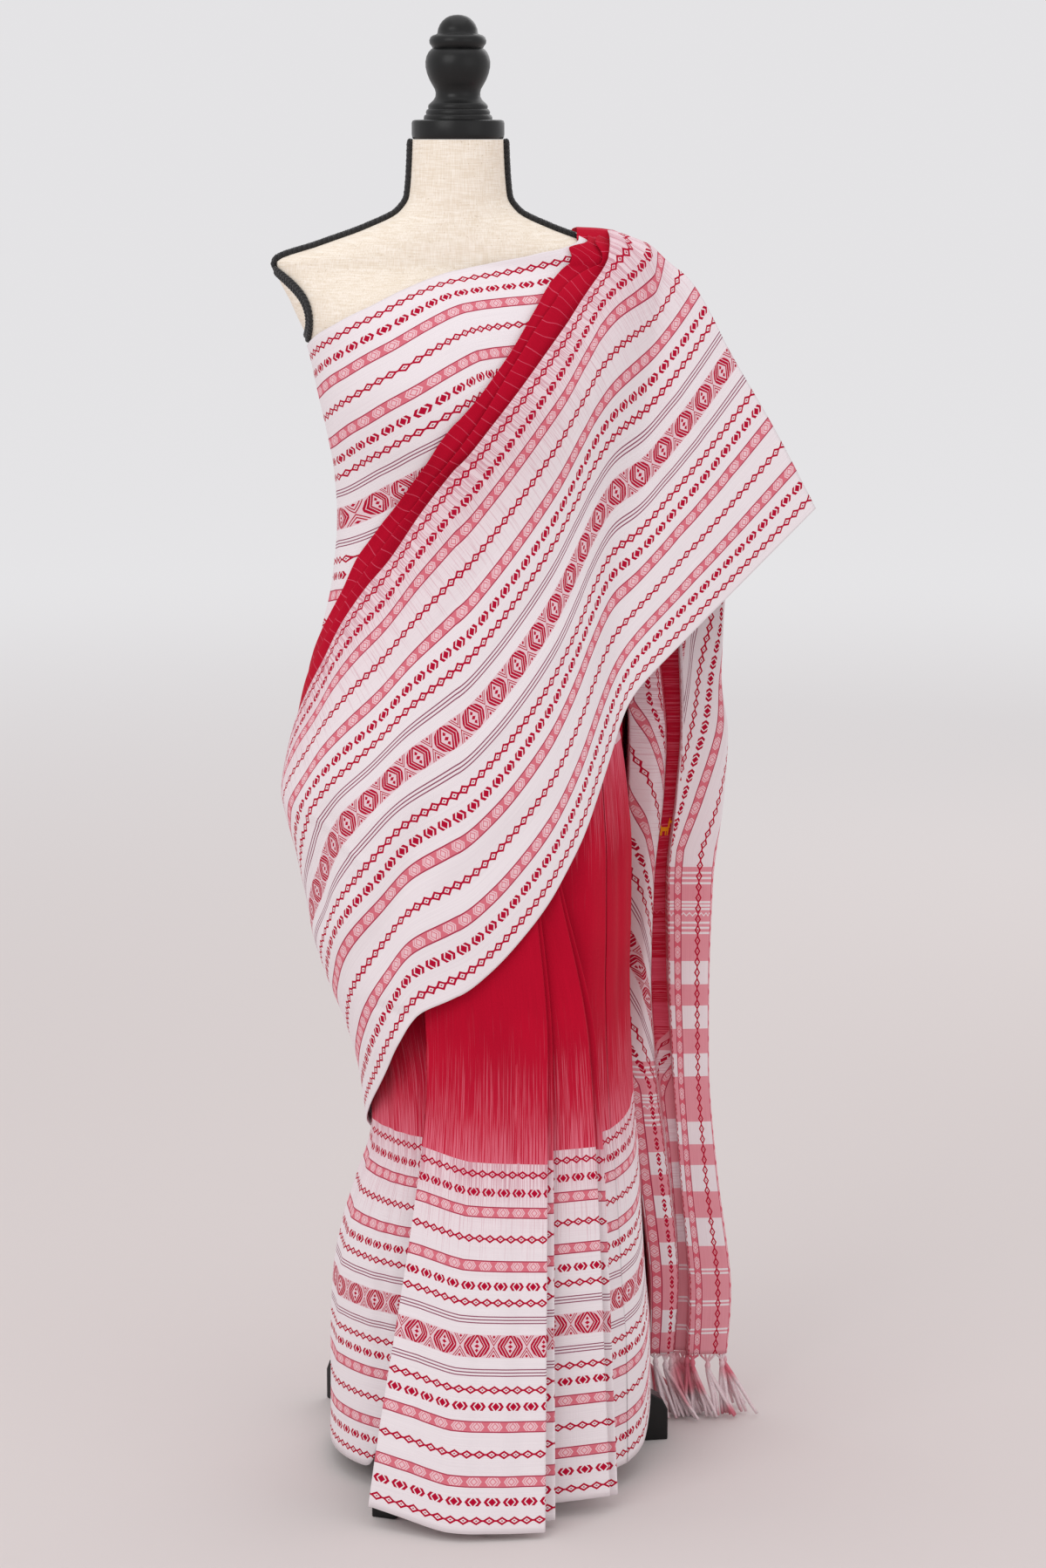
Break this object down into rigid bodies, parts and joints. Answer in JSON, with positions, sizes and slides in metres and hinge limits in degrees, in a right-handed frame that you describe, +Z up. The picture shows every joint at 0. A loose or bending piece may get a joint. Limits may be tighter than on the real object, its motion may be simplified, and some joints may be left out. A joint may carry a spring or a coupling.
{
  "type": "saree on dress form",
  "caption": "Handloom saree with woven borders, pleats and a long fringed pallu, draped on a linen dress form on a tripod stand.",
  "frame": {"origin": "middle of the underside of the whole, on the floor", "axes": "+Z up, -Y towards the front of the form, +X to the viewer's right, the form's own left"},
  "size_m": [0.5904, 0.533, 1.607],
  "materials": {
    "handloom_cotton": "woven cotton, matt",
    "linen": "linen cover, matt",
    "braid": "plaited cord braid, matt",
    "black_wood": "satin black lacquer"
  },
  "bodies": {
    "root": {"form_torso": "linen", "arm_plate_right": "linen", "arm_plate_left": "linen", "braid_right": "braid", "braid_left": "braid", "arm_piping_right": "braid", "arm_piping_left": "braid", "finial": "black_wood", "stand_pole": "black_wood", "stand_hub": "black_wood", "leg_1": "black_wood", "leg_2": "black_wood", "leg_3": "black_wood", "skirt_wrap": "handloom_cotton", "front_pleats": "handloom_cotton", "hip_wrap": "handloom_cotton", "chest_border": "handloom_cotton", "red_fold_upper": "handloom_cotton", "red_fold_lower": "handloom_cotton", "pallu_front": "handloom_cotton", "pallu_tail": "handloom_cotton", "fringe": "handloom_cotton"}
  },
  "joints": []
}
